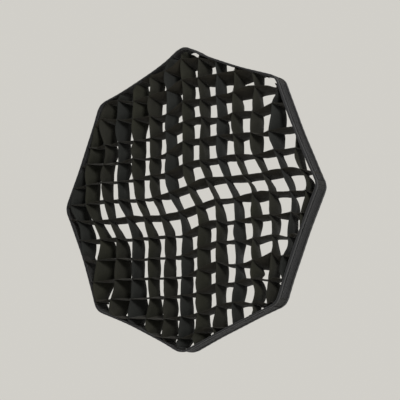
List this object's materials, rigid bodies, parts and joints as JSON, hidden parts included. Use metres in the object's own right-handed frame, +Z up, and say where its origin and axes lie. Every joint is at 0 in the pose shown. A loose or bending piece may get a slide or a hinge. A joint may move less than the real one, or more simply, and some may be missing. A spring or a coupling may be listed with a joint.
{
  "type": "honeycomb grid",
  "caption": "Folding octagonal fabric egg-crate grid with a sewn border and hook tape, for the front of a softbox.",
  "frame": {"origin": "middle of the octagon, half way through its depth", "axes": "stands upright: +X to the right seen from the front, +Z up, +Y from the front edges towards the softbox behind; the front faces -Y"},
  "size_m": [0.8022, 0.052, 0.802],
  "materials": {
    "grid_cloth": "matt black woven nylon",
    "border_cloth": "matt black woven nylon, doubled",
    "binding_tape": "black ribbed binding tape",
    "hook_tape": "black nylon hook tape",
    "thread": "black sewing thread"
  },
  "bodies": {
    "right_half": {"vertical_strip_08": "grid_cloth", "vertical_strip_09": "grid_cloth", "vertical_strip_10": "grid_cloth", "vertical_strip_11": "grid_cloth", "vertical_strip_12": "grid_cloth", "vertical_strip_13": "grid_cloth", "vertical_strip_14": "grid_cloth", "horizontal_strip_01_right": "grid_cloth", "horizontal_strip_02_right": "grid_cloth", "horizontal_strip_03_right": "grid_cloth", "horizontal_strip_04_right": "grid_cloth", "horizontal_strip_05_right": "grid_cloth", "horizontal_strip_06_right": "grid_cloth", "horizontal_strip_07_right": "grid_cloth", "horizontal_strip_08_right": "grid_cloth", "horizontal_strip_09_right": "grid_cloth", "horizontal_strip_10_right": "grid_cloth", "horizontal_strip_11_right": "grid_cloth", "horizontal_strip_12_right": "grid_cloth", "horizontal_strip_13_right": "grid_cloth", "horizontal_strip_14_right": "grid_cloth", "border_bottom_right": "border_cloth", "border_right_lower": "border_cloth", "border_right_upper": "border_cloth", "border_top_right": "border_cloth", "front_binding_right": "binding_tape", "back_binding_right": "binding_tape", "hook_tapes_right": "hook_tape", "crossing_tacks_right": "thread"},
    "left_half": {"vertical_strip_01": "grid_cloth", "vertical_strip_02": "grid_cloth", "vertical_strip_03": "grid_cloth", "vertical_strip_04": "grid_cloth", "vertical_strip_05": "grid_cloth", "vertical_strip_06": "grid_cloth", "vertical_strip_07": "grid_cloth", "horizontal_strip_01_left": "grid_cloth", "horizontal_strip_02_left": "grid_cloth", "horizontal_strip_03_left": "grid_cloth", "horizontal_strip_04_left": "grid_cloth", "horizontal_strip_05_left": "grid_cloth", "horizontal_strip_06_left": "grid_cloth", "horizontal_strip_07_left": "grid_cloth", "horizontal_strip_08_left": "grid_cloth", "horizontal_strip_09_left": "grid_cloth", "horizontal_strip_10_left": "grid_cloth", "horizontal_strip_11_left": "grid_cloth", "horizontal_strip_12_left": "grid_cloth", "horizontal_strip_13_left": "grid_cloth", "horizontal_strip_14_left": "grid_cloth", "border_top_left": "border_cloth", "border_left_upper": "border_cloth", "border_left_lower": "border_cloth", "border_bottom_left": "border_cloth", "front_binding_left": "binding_tape", "back_binding_left": "binding_tape", "hook_tapes_left": "hook_tape", "crossing_tacks_left": "thread"}
  },
  "joints": [
    {"name": "fold_in_half", "type": "hinge", "parent": "right_half", "child": "left_half", "pos_m": [0, -0.027, 0], "axis": [0, 0, 1], "range_deg": [0, 180]}
  ]
}
